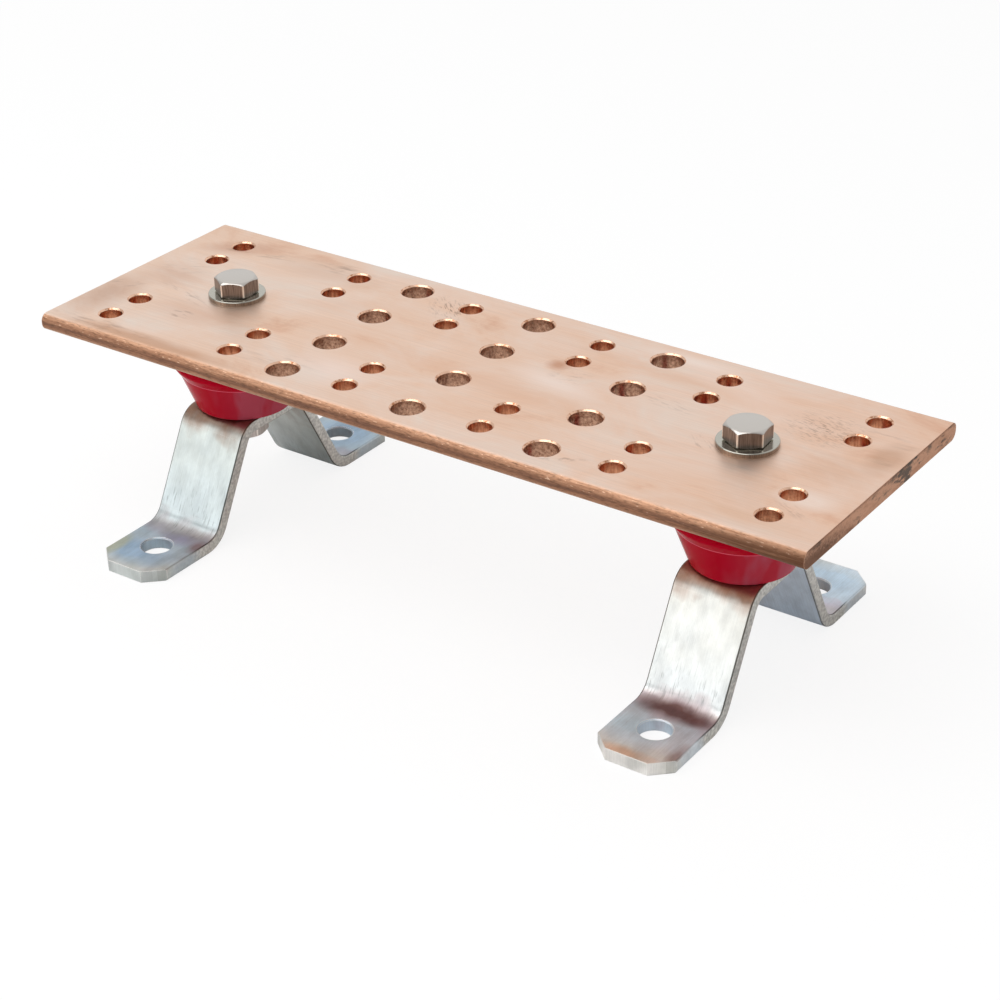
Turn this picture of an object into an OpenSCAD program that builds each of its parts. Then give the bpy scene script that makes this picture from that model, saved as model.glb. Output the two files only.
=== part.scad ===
// Rack grounding busbar: a punched copper bar on two stand-off insulators,
// each screwed to the crown of a hat-shaped steel strap bracket.
// Millimetres. X runs along the bar, Y across it and Z up. The origin lies on
// the plane that the four feet stand on, midway between them.

/* [Bar] */
// Length of the copper bar
bar_l = 304.8; // [290:0.1:400]
// Width of the bar
bar_w = 101.6; // [96:0.1:140]
// Thickness of the bar
bar_t = 6.35; // [6:0.05:12]
// Radius of the rolled long edges
bar_edge_r = 2.8; // [0.5:0.1:2.9]

/* [Lug holes] */
// Diameter of the small lug holes
small_hole_d = 7.94; // [5:0.01:9]
// Centre distance of the two holes of a small pair
small_pair_spacing = 15.2; // [12:0.1:18]
// Distance from the long centre line to the middle of a small pair
small_pair_offset = 28.6; // [25:0.1:32]
// Diameter of the large lug holes
large_hole_d = 11.11; // [8:0.01:14]
// Centre distance of neighbouring large holes in a column
large_hole_spacing = 25.4; // [20:0.1:27]
// Distance from the middle to the inner columns of small pairs
inner_column_x = 27.5; // [22:0.1:32]
// Distance from the middle to the outer columns of large holes
large_column_x = 52.5; // [46:0.1:59]
// Distance from a stand-off inwards to the second column of small pairs
second_column_gap = 27.25; // [22:0.05:32]
// Distance from a stand-off outwards to the end column of small pairs
end_column_gap = 27.75; // [22:0.05:34]
// Width of the chamfer round the rims of the bar's holes
hole_chamfer = 0.55; // [0.2:0.05:1]

/* [Stand-off insulators] */
// Distance from the bar's end to the middle of its insulator
standoff_inset = 47.65; // [44:0.05:52]
// Height of an insulator
insulator_h = 35; // [32:0.1:60]
// Diameter of its flat end faces
insulator_end_d = 35.3; // [30:0.1:40]
// Diameter at the two shoulders, where the belt begins
insulator_shoulder_d = 46; // [41:0.1:48]
// Diameter at the corner of the belt, before its crest is rounded
insulator_belt_d = 50.8; // [48.5:0.1:56]
// Height of the belt from shoulder to shoulder
insulator_belt_h = 7; // [5:0.1:11]
// Rounding of the belt's crest
insulator_crest_r = 1.5; // [0.5:0.1:2.5]
// Rounding of the rims of the end faces
insulator_rim_r = 0.8; // [0.3:0.1:2]

/* [Threaded inserts] */
// Outer diameter of an insert
insert_d = 16; // [13:0.1:20]
// Depth of the locking groove round an insert
insert_groove_depth = 1.2; // [0.4:0.1:1.5]
// Width of the locking groove
insert_groove_w = 3.6; // [2:0.1:6]
// Solid end left behind the threaded hole
insert_end_wall = 1.2; // [0.8:0.1:2]
// Depth of the threaded hole past the tip of the longer-reaching screw
thread_runout = 0.65; // [0.2:0.05:1.5]

/* [Brackets] */
// Width of the strap
strap_w = 29; // [24:0.1:40]
// Thickness of the strap
strap_t = 4.5; // [3:0.1:5]
// Rounding of the strap's long edges
strap_edge_r = 0.7; // [0.2:0.1:1.2]
// Height of a bracket from the feet to the top of its crown
bracket_h = 41.4; // [38:0.1:80]
// Length of the crown between the corners of its top face
crown_l = 34.1; // [31:0.1:44]
// Distance between the tips of the two feet
foot_span = 139.7; // [134:0.1:160]
// Length of a foot from its tip to the corner where the leg begins
foot_l = 33.2; // [29:0.1:34]
// Inside radius of the bends at the crown
crown_bend_r = 5; // [2:0.1:6]
// Inside radius of the bends at the feet
foot_bend_r = 7.5; // [4:0.1:8]
// Diameter of the fixing holes in the feet
foot_hole_d = 11.1; // [7:0.1:12]
// Distance from a foot's tip to the centre of its hole
foot_hole_inset = 17.3; // [14:0.1:19]
// Width of the chamfer round the rims of the fixing holes
foot_hole_chamfer = 0.4; // [0.2:0.05:0.8]
// Length of a foot's cropped corners along its end
foot_crop_end = 6.8; // [3:0.1:8]
// Length of a foot's cropped corners along its sides
foot_crop_side = 6.4; // [3:0.1:8]

/* [Screws] */
// Diameter of the screws over their thread
screw_d = 9.525; // [8:0.005:10]
// Depth that the top screws reach into their inserts
top_engagement = 11.05; // [8:0.05:12]
// Depth that the bottom screws reach into their inserts
bottom_engagement = 12.15; // [8:0.05:12.5]
// Width across flats of the hexagon heads
head_af = 14.1; // [12.5:0.05:16]
// Height of the heads
head_h = 5.95; // [4:0.05:8]
// Height of the round bearing face under a head
bearing_h = 0.4; // [0.2:0.05:0.6]
// How far the bearing face stays inside the flats
bearing_inset = 0.35; // [0.1:0.05:0.6]
// How far the flat top of a head stays inside the flats
head_top_inset = 0.4; // [0.1:0.05:1]
// Width of the chamfer on the tips of the screws
tip_chamfer = 1; // [0.3:0.1:1.5]
// Gap all round between a screw and the holes that it passes through
screw_clearance = 0.8; // [0.4:0.05:1.2]
// Play between screw and insert, where both threads are plain cylinders
thread_play = 0.05; // [0.02:0.01:0.2]
// Turn of the head of the top left screw
top_left_turn = 28; // [0:1:59]
// Turn of the head of the top right screw
top_right_turn = 35; // [0:1:59]
// Turn of the head of the bottom left screw
bottom_left_turn = 20; // [0:1:59]
// Turn of the head of the bottom right screw
bottom_right_turn = 44; // [0:1:59]

/* [Washers] */
// Outer diameter of the flat washers
washer_d = 20.6; // [19:0.1:26]
// Thickness of the flat washers
washer_t = 1.65; // [1:0.05:2.5]
// Outer diameter of the split lock washers
lock_washer_d = 17.2; // [16:0.1:20]
// Thickness of the split lock washers
lock_washer_t = 2.4; // [1.5:0.05:2.6]
// Width of the cut through a lock washer
lock_washer_cut_w = 1.1; // [0.6:0.1:2]
// Slant of the cut from the vertical
lock_washer_cut_slant = 40; // [20:1:45]
// Gap all round between a screw and its lock washer
lock_washer_play = 0.4; // [0.2:0.05:0.8]

/* [Hidden] */
$fn = 64;

// how far a cutting shape overshoots the face that it cuts
over = 1;
// steps in each drawn arc of the insulator's outline
arc_steps = 6;
// a leg stays this much under the section of its bends, and reaches this far
// into them, so that the strap is one closed solid
weld_step = 0.01;
weld_depth = 0.3;

copper = "#c98a6a";
red = "#b01e28";
zinc = "#c4c8cb";
stainless = "#a9a7a4";
brass = "#c9a24a";

// places of the insulators and columns of holes, either side of the middle
standoff_x = bar_l / 2 - standoff_inset;
small_column_places = [inner_column_x, standoff_x - second_column_gap, standoff_x + end_column_gap];

// heights of the stack, from the feet up
crown_bottom = bracket_h - strap_t;
bar_bottom = bracket_h + insulator_h;
bar_top = bar_bottom + bar_t;

// screws and what they pass through or thread into
screw_hole_d = screw_d + 2 * screw_clearance;
thread_bore_d = screw_d + 2 * thread_play;
insert_bore_depth = max(top_engagement, bottom_engagement) + thread_runout;
insert_l = insert_bore_depth + insert_end_wall;

// the strap's centre line: its leg falls from the crown corner to the foot
// corner, and both corners lie inside those of the top face by the same amount
leg_rise = bracket_h - strap_t;
leg_reach = foot_span / 2 - foot_l - crown_l / 2;
leg_angle = atan2(leg_rise, leg_reach);
leg_length = norm([leg_reach, leg_rise]);
centre_shift = strap_t / 2 * tan(leg_angle / 2);
crown_corner_y = crown_l / 2 - centre_shift;
foot_corner_y = foot_span / 2 - foot_l - centre_shift;
crown_mid_r = crown_bend_r + strap_t / 2;
foot_mid_r = foot_bend_r + strap_t / 2;
crown_setback = crown_mid_r * tan(leg_angle / 2);
foot_setback = foot_mid_r * tan(leg_angle / 2);

// straight hole from z0 to z1, chamfered at 45 degrees on both rims
module chamfered_hole(d, z0, z1, chamfer) {
    wide_d = d + 2 * (chamfer + over);
    translate([0, 0, z0 - over]) cylinder(d = d, h = z1 - z0 + 2 * over);
    translate([0, 0, z0 - over]) cylinder(d1 = wide_d, d2 = d, h = chamfer + over);
    translate([0, 0, z1 - chamfer]) cylinder(d1 = d, d2 = wide_d, h = chamfer + over);
}

// rectangle about the origin with its four corners rounded
module rounded_section(w, h, r) {
    square([w - 2 * r, h], center = true);
    square([w, h - 2 * r], center = true);
    for (sx = [-1, 1], sy = [-1, 1])
        translate([sx * (w / 2 - r), sy * (h / 2 - r)]) circle(r);
}

// ---- copper bar ----

// rolled flat bar with sheared ends
module bar_blank() {
    translate([-bar_l / 2, 0, bar_bottom + bar_t / 2])
        rotate([90, 0, 90])
            linear_extrude(bar_l) rounded_section(bar_w, bar_t, bar_edge_r);
}

module bar_hole(d) {
    chamfered_hole(d, bar_bottom, bar_top, hole_chamfer);
}

// four holes across the bar at one place along it: a small pair on each side
module small_column() {
    for (side = [-1, 1], end = [-0.5, 0.5])
        translate([0, side * small_pair_offset + end * small_pair_spacing, 0])
            bar_hole(small_hole_d);
}

// four evenly spaced large holes across the bar
module large_column() {
    for (row = [-1.5 : 1.5])
        translate([0, row * large_hole_spacing, 0]) bar_hole(large_hole_d);
}

module busbar() {
    color(copper)
        difference() {
            bar_blank();
            for (side = [-1, 1], x = small_column_places)
                translate([side * x, 0, 0]) small_column();
            for (x = [-large_column_x, 0, large_column_x])
                translate([x, 0, 0]) large_column();
            for (side = [-1, 1])
                translate([side * standoff_x, 0, 0]) bar_hole(screw_hole_d);
        }
}

// ---- stand-off insulators and their inserts ----

function unit(v) = v / norm(v);

// points of the arc of radius r that rounds the corner at b, between a and c
function rounded_corner(a, b, c, r) =
    let (
        to_a = unit(a - b),
        to_c = unit(c - b),
        half_angle = acos(to_a * to_c) / 2,
        centre = b + unit(to_a + to_c) * r / sin(half_angle),
        start = b + to_a * r / tan(half_angle) - centre,
        end = b + to_c * r / tan(half_angle) - centre,
        sweep = 180 - 2 * half_angle
    )
    [for (i = [0 : arc_steps])
        centre + (start * sin(sweep * (1 - i / arc_steps)) + end * sin(sweep * i / arc_steps))
            / sin(sweep)];

// half outline of the moulded drum, with z = 0 at mid-height
module drum_outline() {
    end_r = insulator_end_d / 2;
    shoulder_r = insulator_shoulder_d / 2;
    belt_r = insulator_belt_d / 2;
    top = insulator_h / 2;
    shoulder_z = insulator_belt_h / 2;
    rim = rounded_corner([0, top], [end_r, top], [shoulder_r, shoulder_z], insulator_rim_r);
    crest = rounded_corner(
        [shoulder_r, shoulder_z], [belt_r, 0], [shoulder_r, -shoulder_z], insulator_crest_r
    );
    lower_rim = [for (i = [arc_steps : -1 : 0]) [rim[i][0], -rim[i][1]]];
    polygon(concat(
        [[0, top]], rim, [[shoulder_r, shoulder_z]],
        crest,
        [[shoulder_r, -shoulder_z]], lower_rim, [[0, -top]]
    ));
}

// turned blank of an insert, its mouth at z = 0 and its groove at mid-length
module insert_blank() {
    difference() {
        cylinder(d = insert_d, h = insert_l);
        translate([0, 0, (insert_l - insert_groove_w) / 2])
            difference() {
                cylinder(d = insert_d + 2 * over, h = insert_groove_w);
                translate([0, 0, -over])
                    cylinder(
                        d = insert_d - 2 * insert_groove_depth,
                        h = insert_groove_w + 2 * over
                    );
            }
    }
}

module threaded_insert() {
    color(brass)
        difference() {
            insert_blank();
            translate([0, 0, -over]) cylinder(d = thread_bore_d, h = insert_bore_depth + over);
        }
}

module lower_insert() {
    translate([0, 0, bracket_h]) threaded_insert();
}

module upper_insert() {
    translate([0, 0, bar_bottom]) mirror([0, 0, 1]) threaded_insert();
}

// moulded round both inserts
module insulator() {
    color(red)
        difference() {
            translate([0, 0, bracket_h + insulator_h / 2]) rotate_extrude() drum_outline();
            translate([0, 0, bracket_h]) insert_blank();
            translate([0, 0, bar_bottom]) mirror([0, 0, 1]) insert_blank();
        }
}

// ---- strap brackets ----

// straight strap along +Y from the origin, each face inset by the given amount
module strap_run(length, inset = 0) {
    rotate([-90, 0, 0])
        linear_extrude(length)
            rounded_section(strap_w - 2 * inset, strap_t - 2 * inset, strap_edge_r);
}

// bend that starts level at the origin, runs along +Y and turns down
module strap_bend(mid_r) {
    translate([0, 0, -mid_r])
        rotate([0, -90, 0])
            rotate_extrude(angle = leg_angle)
                translate([mid_r, 0]) rounded_section(strap_t, strap_w, strap_edge_r);
}

// the strap from the middle of the crown out to the tip of one foot
module half_strap() {
    crown_end = crown_corner_y - crown_setback;
    foot_start = foot_corner_y + foot_setback;
    leg_run = leg_length - crown_setback - foot_setback + 2 * weld_depth;
    translate([0, 0, bracket_h - strap_t / 2]) {
        strap_run(crown_end);
        translate([0, crown_end, 0]) strap_bend(crown_mid_r);
        translate([0, crown_corner_y, 0])
            rotate([-leg_angle, 0, 0])
                translate([0, crown_setback - weld_depth, 0]) strap_run(leg_run, weld_step);
    }
    translate([0, foot_start, strap_t / 2]) {
        rotate([180, 0, 0]) strap_bend(foot_mid_r);
        strap_run(foot_span / 2 - foot_start);
    }
}

// prism that crops the right-hand corner of a foot's tip
module foot_crop() {
    side_x = strap_w / 2;
    tip_y = foot_span / 2;
    slope = foot_crop_side / foot_crop_end;
    translate([0, 0, -over])
        linear_extrude(strap_t + 2 * over)
            polygon([
                [side_x - foot_crop_end - over / slope, tip_y + over],
                [side_x + over, tip_y + over],
                [side_x + over, tip_y - foot_crop_side - over * slope]
            ]);
}

module bracket() {
    color(zinc)
        difference() {
            for (turn = [0, 180]) rotate([0, 0, turn]) half_strap();
            translate([0, 0, crown_bottom - over])
                cylinder(d = screw_hole_d, h = strap_t + 2 * over);
            for (turn = [0, 180])
                rotate([0, 0, turn]) {
                    translate([0, foot_span / 2 - foot_hole_inset, 0])
                        chamfered_hole(foot_hole_d, 0, strap_t, foot_hole_chamfer);
                    foot_crop();
                    mirror([1, 0, 0]) foot_crop();
                }
        }
}

// ---- screws and washers ----

// hexagon head standing on z = 0, its corners chamfered at 30 degrees
module hex_head() {
    top_r = head_af / 2 - head_top_inset;
    cylinder(r = head_af / 2 - bearing_inset, h = bearing_h);
    intersection() {
        translate([0, 0, bearing_h])
            cylinder(d = head_af / cos(30), h = head_h - bearing_h, $fn = 6);
        cylinder(r1 = top_r + head_h / tan(30), r2 = top_r, h = head_h);
    }
}

// screw with its head above z = 0 and the given length of shank below
module hex_screw(length, turn) {
    color(stainless) {
        rotate([0, 0, turn]) hex_head();
        translate([0, 0, tip_chamfer - length]) cylinder(d = screw_d, h = length - tip_chamfer);
        translate([0, 0, -length])
            cylinder(d1 = screw_d - 2 * tip_chamfer, d2 = screw_d, h = tip_chamfer);
    }
}

module top_screw(turn) {
    translate([0, 0, bar_top + washer_t])
        hex_screw(washer_t + bar_t + top_engagement, turn);
}

module bottom_screw(turn) {
    translate([0, 0, crown_bottom - lock_washer_t])
        mirror([0, 0, 1]) hex_screw(lock_washer_t + strap_t + bottom_engagement, turn);
}

module top_washer() {
    color(stainless)
        translate([0, 0, bar_top])
            difference() {
                cylinder(d = washer_d, h = washer_t);
                translate([0, 0, -over]) cylinder(d = screw_hole_d, h = washer_t + 2 * over);
            }
}

// spring washer pressed flat by its screw, cut through on a slant
module bottom_lock_washer() {
    color(stainless)
        translate([0, 0, crown_bottom - lock_washer_t])
            difference() {
                cylinder(d = lock_washer_d, h = lock_washer_t);
                translate([0, 0, -over])
                    cylinder(d = screw_d + 2 * lock_washer_play, h = lock_washer_t + 2 * over);
                translate([0, lock_washer_d / 2, lock_washer_t / 2])
                    rotate([0, lock_washer_cut_slant, 0])
                        cube([lock_washer_cut_w, lock_washer_d, 4 * lock_washer_t], center = true);
            }
}

module at_left() {
    translate([-standoff_x, 0, 0]) children();
}

module at_right() {
    translate([standoff_x, 0, 0]) children();
}

busbar();
at_left() insulator();  // insulator_left
at_right() insulator();  // insulator_right
at_left() upper_insert();  // upper_insert_left
at_right() upper_insert();  // upper_insert_right
at_left() lower_insert();  // lower_insert_left
at_right() lower_insert();  // lower_insert_right
at_left() bracket();  // bracket_left
at_right() bracket();  // bracket_right
at_left() top_screw(top_left_turn);  // top_screw_left
at_right() top_screw(top_right_turn);  // top_screw_right
at_left() top_washer();  // top_washer_left
at_right() top_washer();  // top_washer_right
at_left() bottom_screw(bottom_left_turn);  // bottom_screw_left
at_right() bottom_screw(bottom_right_turn);  // bottom_screw_right
at_left() bottom_lock_washer();  // bottom_lock_washer_left
at_right() bottom_lock_washer();  // bottom_lock_washer_right
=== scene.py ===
from math import acos, atan2, cos, hypot, pi, radians, sin, tan

import bmesh
import bpy
from mathutils import Matrix, Vector


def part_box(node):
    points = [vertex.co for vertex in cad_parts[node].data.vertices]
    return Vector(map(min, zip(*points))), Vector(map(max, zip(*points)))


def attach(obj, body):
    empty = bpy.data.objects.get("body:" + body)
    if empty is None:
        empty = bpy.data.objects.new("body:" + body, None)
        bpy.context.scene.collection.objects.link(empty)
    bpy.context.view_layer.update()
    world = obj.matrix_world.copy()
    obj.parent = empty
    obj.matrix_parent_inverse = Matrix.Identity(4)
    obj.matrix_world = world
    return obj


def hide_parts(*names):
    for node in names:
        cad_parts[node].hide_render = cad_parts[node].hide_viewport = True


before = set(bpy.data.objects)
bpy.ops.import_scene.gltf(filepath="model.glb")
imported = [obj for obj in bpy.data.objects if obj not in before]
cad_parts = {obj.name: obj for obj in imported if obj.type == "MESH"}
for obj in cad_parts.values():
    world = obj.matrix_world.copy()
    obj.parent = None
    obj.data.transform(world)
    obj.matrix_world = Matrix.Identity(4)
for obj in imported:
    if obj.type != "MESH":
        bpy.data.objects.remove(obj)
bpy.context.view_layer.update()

# ---------------------------------------------------------------------------
# Strap brackets: 4.5 mm mild steel strap, sheared, punched and bent to a hat,
# then clear zinc plated. The CAD solids carry the bends and rolled edges, and
# keep their place; only the finish is added here.
# ---------------------------------------------------------------------------

mm = 0.001


def adder_for(tree):
    """Empties a node tree and gives the function that adds nodes to it."""
    tree.nodes.clear()

    def add(kind, inputs=None, out=None, stops=(), **settings):
        """Adds a node with its settings, fills its inputs with values or links, and gives
        its output. A colour ramp's stops start with its lowest and its highest."""
        node = tree.nodes.new(kind if "Node" in kind else "ShaderNode" + kind)
        for name, value in settings.items():
            setattr(node, name, value)
        for name, value in (inputs or {}).items():
            if isinstance(value, bpy.types.NodeSocket):
                tree.links.new(value, node.inputs[name])
            else:
                node.inputs[name].default_value = value
        for i, (position, tint) in enumerate(stops):
            ramp = node.color_ramp.elements
            stop = ramp[i] if i < 2 else ramp.new(position)
            stop.position, stop.color = position, linear(tint)
        live = [socket for socket in node.outputs if socket.enabled]
        return node.outputs[out] if out else live[0] if live else None
    return add


def linear(code):
    """An sRGB hex colour as linear RGBA."""
    channels = [int(code[i:i + 2], 16) / 255 for i in (1, 3, 5)]
    return [c / 12.92 if c <= 0.04045 else ((c + 0.055) / 1.055) ** 2.4 for c in channels] + [1.0]


def new_material(name):
    """A node material, the function that adds its nodes, and its object coordinates."""
    material = bpy.data.materials.new(name)
    material.use_nodes = True
    add = adder_for(material.node_tree)
    return material, add, add("TexCoord", out="Object")


def marks(add, place, per_metre, detail, roughness=0.5, **more):
    """Noise drawn out by axis: how many marks there are per metre along X, Y and Z."""
    drawn = add("Mapping", {"Vector": place, "Scale": per_metre})
    return add("TexNoise", {"Vector": drawn, "Scale": 1.0, "Detail": detail,
                            "Roughness": roughness, **more})


def spot(add, place, centre, size, turn=0):
    """An oval spot: 1 in its middle, 0 from its rim outwards."""
    local = add("Mapping", {"Vector": place, "Location": centre, "Rotation": (0, 0, radians(turn)),
                            "Scale": size}, vector_type="TEXTURE")
    return add("TexGradient", {"Vector": local}, gradient_type="SPHERICAL", out="Fac")


def broken_arris(add, radius, most=1.0):
    """The normal rounded over sharp arrises, and how near one is, up to most."""
    rounded = add("Bevel", {"Radius": radius}, samples=4)
    flat = add("NewGeometry", out="Normal")
    bend = add("VectorMath", {0: rounded, 1: flat}, operation="DOT_PRODUCT")
    near = add("MapRange", {"Value": bend, "From Min": 0.995, "From Max": 0.93, "To Max": most})
    return rounded, near


def dress(names, material):
    """Gives the CAD nodes their finish."""
    for name in names:
        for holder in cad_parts[name].material_slots:
            holder.material = material


zinc, add, place = new_material("clear_zinc_plated_steel")
# rolled and brushed grain: lines 0.3 mm apart along the strap
grain = marks(add, place, (3000, 45, 45), 4.0, 0.65)
# the film's tint follows the strap out from the crown: brown where it was bent, darkest beside the
# insulator's foot, where the brown is partly painted contact shade, white on the leg, blue and then
# straw on the foot, its borders wandering by 3 mm
film = add("TexNoise", {"Vector": place, "Scale": 90.0, "Detail": 3.0})
axes = add("SeparateXYZ", {"Vector": place}).node.outputs
along = add("Math", {0: axes["Y"]}, operation="ABSOLUTE")
wander = add("Math", {0: film, 1: 16 * mm, 2: -8 * mm}, operation="MULTIPLY_ADD")
along = add("Math", {0: along, 1: wander}, operation="ADD")
toe = 70
reach = add("MapRange", {"Value": along, "From Max": toe * mm})
film_stops = ((0, "#CDB9AC"), (69, "#F8F6F2"), (15.5, "#BC9F8E"), (21, "#ECECE6"),
              (34, "#E6EAEA"), (36.5, "#E6E2E2"), (39, "#DCD6DA"), (42.5, "#DAD6E0"),
              (46.5, "#DCE8F2"), (58, "#E4ECF2"), (66, "#E8E8E2"))
film_tint = add("ValToRGB", {"Fac": reach}, stops=[(far / toe, tint) for far, tint in film_stops])
grain_amount = add("MapRange", {"Value": grain, "From Min": 0.3, "From Max": 0.7,
                                "To Min": 0.86, "To Max": 1.02})
# short dark dashes along the strap, 0.6 mm wide and 5 mm long, left by the press
# tool on the lower half of each leg
dashes = marks(add, place, (1600, 200, 200), 2.0)
dashes = add("MapRange", {"Value": dashes, "From Min": 0.56, "From Max": 0.7, "To Max": 0.5})
low_leg = add("MapRange", {"Value": along, "From Min": 26 * mm, "From Max": 33 * mm})
above_bend = add("MapRange", {"Value": along, "From Min": 40 * mm, "From Max": 37 * mm})
dashes = add("Math", {0: dashes, 1: low_leg}, operation="MULTIPLY")
dashes = add("Math", {0: dashes, 1: above_bend}, operation="MULTIPLY")
film_tint = add("Mix", {0: dashes, 6: film_tint, 7: linear("#8A8C8C")}, data_type="RGBA")
facing = add("SeparateXYZ", {"Vector": add("NewGeometry", out="Normal")}).node.outputs
upward = add("Math", {0: facing["Z"], 1: 0.2}, operation="GREATER_THAN")
# the film's local colours on the feet: straw at a toe, red-brown at a heel, blue
# and mauve between, each a patch with its centre and size in mm
face_z = 4.5
for x, y, length, width, tint, strength in (
        (103, -69, 17, 5, "#EABE96", 0.7), (118, -61, 4, 9, "#9A6E62", 0.55),
        (105, -41, 19, 7, "#7C5854", 0.9), (114, -42, 7, 4, "#8C5A52", 0.5),
        (99, -56, 16, 11, "#D6EEFA", 0.85), (-107, -59, 17, 12, "#C6E0FA", 0.85),
        (-101, -45, 10, 6, "#C8C0E0", 0.6), (-92, -46, 4, 6, "#A87068", 0.65),
        (-118, -60, 5, 11, "#E8E0B4", 0.6), (106, 59, 24, 20, "#D8ECFC", 0.9),
        (-104, 55, 18, 16, "#CCE2FA", 0.85)):
    inside = spot(add, place, (x * mm, y * mm, face_z * mm), (length * mm, width * mm, 12 * mm))
    shown = add("Math", {0: inside, 1: film}, operation="MULTIPLY")
    shown = add("MapRange", {"Value": shown, "From Min": 0.05, "From Max": 0.35,
                             "To Max": strength})
    shown = add("Math", {0: shown, 1: upward}, operation="MULTIPLY")
    film_tint = add("Mix", {0: shown, 6: film_tint, 7: linear(tint)}, data_type="RGBA")
# the left bracket came out of its bath bluer and duller than the right one, which
# is blue underneath only
batch = add("Math", {0: axes["X"], 1: 0.0}, operation="GREATER_THAN")
downward = add("Math", {0: facing["Z"], 1: -0.2}, operation="LESS_THAN")
downward = add("Math", {0: downward, 1: batch}, operation="MULTIPLY")
film_tint = add("Mix", {0: downward, 6: film_tint, 7: linear("#E8F4FF")}, data_type="RGBA")
batch_tint = add("Mix", {0: batch, 6: linear("#DFE6E8"), 7: linear("#FFFFFF")}, data_type="RGBA")
film_tint = add("Mix", {0: 1.0, 6: film_tint, 7: batch_tint}, data_type="RGBA",
                blend_type="MULTIPLY")
# and the bath leaves it cloudy: greyer patches 7 mm across and 12 mm along the strap
clouds = marks(add, place, (150, 80, 80), 6.0, 0.6)
cloud_amount = add("MapRange", {"Value": clouds, "From Min": 0.4, "From Max": 0.65,
                                "To Min": 1.0, "To Max": 0.8})
cloud_amount = add("Math", {0: cloud_amount, 1: grain_amount}, operation="MULTIPLY")
zinc_colour = add("Mix", {0: 1.0, 6: film_tint, 7: cloud_amount}, data_type="RGBA",
                  blend_type="MULTIPLY")
# sheared and punched arrises are broken to 0.4 mm, and painted lighter on them: partly the zinc's
# brighter edge, partly a painted highlight
rounded, arris = broken_arris(add, 0.4 * mm)
arris_colour = add("Mix", {0: arris, 6: zinc_colour, 7: linear("#F2F0EC")}, data_type="RGBA")
# sheared sides keep no film: grey, with pits 1 mm across, and a dark line of painted shade in the
# turn where the rolled edge meets the face
strap_low, strap_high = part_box("bracket_right")
strap_mid = (strap_low[0] + strap_high[0]) / 2
flat_half_w = 12 * mm
across = add("Math", {0: axes["X"]}, operation="ABSOLUTE")
across = add("Math", {0: across, 1: strap_mid}, operation="SUBTRACT")
across = add("Math", {0: across}, operation="ABSOLUTE")
at_side = add("Math", {0: across, 1: flat_half_w}, operation="GREATER_THAN")
above_foot = add("MapRange", {"Value": along, "From Min": 50 * mm, "From Max": 44 * mm,
                              "To Min": 0.25})
at_side = add("Math", {0: at_side, 1: above_foot}, operation="MULTIPLY")
sideways = add("Math", {0: facing["X"]}, operation="ABSOLUTE")
pits = add("TexNoise", {"Vector": place, "Scale": 900.0, "Detail": 4.0})
pitted = add("MapRange", {"Value": pits, "From Min": 0.35, "From Max": 0.65})
side_tint = add("Mix", {0: pitted, 6: linear("#B4B4B0"), 7: linear("#DCDCD6")}, data_type="RGBA")
on_side = add("MapRange", {"Value": sideways, "From Min": 0.6, "From Max": 0.9})
on_side = add("Math", {0: on_side, 1: at_side}, operation="MULTIPLY")
arris_colour = add("Mix", {0: on_side, 6: arris_colour, 7: side_tint}, data_type="RGBA")
# painted shade: darker where the normal turns between the face and the side
rolled_turn_shade = add("ValToRGB", {"Fac": sideways}, stops=(
    (0.08, "#FFFFFF"), (0.92, "#FFFFFF"), (0.3, "#908C88"), (0.6, "#8A8680")))
arris_colour = add("Mix", {0: at_side, 6: arris_colour, 7: rolled_turn_shade}, data_type="RGBA",
                   blend_type="MULTIPLY")
zinc_rough = add("MapRange", {"Value": grain, "From Min": 0.3, "From Max": 0.7,
                              "To Min": 0.3, "To Max": 0.42})
# matter from the bend to the toe, where the press squeezed it
pressed = add("MapRange", {"Value": along, "From Min": 34 * mm, "From Max": 39 * mm,
                           "To Max": 0.18})
zinc_rough = add("Math", {0: zinc_rough, 1: pressed}, operation="ADD")
# the plating is a little uneven, like orange peel 2 mm across, over the grain
peel = add("TexNoise", {"Vector": place, "Scale": 500.0, "Detail": 2.0})
zinc_bump = add("Bump", {"Height": peel, "Strength": 0.35, "Distance": 0.1 * mm,
                         "Normal": rounded})
zinc_bump = add("Bump", {"Height": grain, "Strength": 0.3, "Distance": 0.05 * mm,
                         "Normal": zinc_bump})
add("OutputMaterial", {"Surface": add("BsdfPrincipled", {
    "Base Color": arris_colour, "Metallic": 1.0, "Roughness": zinc_rough, "Normal": zinc_bump})})
dress(("bracket_left", "bracket_right"), zinc)

# ---------------------------------------------------------------------------
# Stand-off insulators: red glass-filled polyester drums, compression moulded
# round a threaded brass insert at each end. The skin is glossy off the tool.
# ---------------------------------------------------------------------------


def round_corner(before, corner, after, radius, steps):
    """Points of the arc that rounds the corner between two straight edges."""
    to_before = (before - corner).normalized()
    to_after = (after - corner).normalized()
    half = acos(to_before.dot(to_after)) / 2
    centre = corner + (to_before + to_after).normalized() * radius / sin(half)
    start = corner + to_before * radius / tan(half) - centre
    end = corner + to_after * radius / tan(half) - centre
    sweep = pi - 2 * half
    return [centre + (start * sin(sweep * (1 - i / steps)) + end * sin(sweep * i / steps))
            / sin(sweep) for i in range(steps + 1)]


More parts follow.
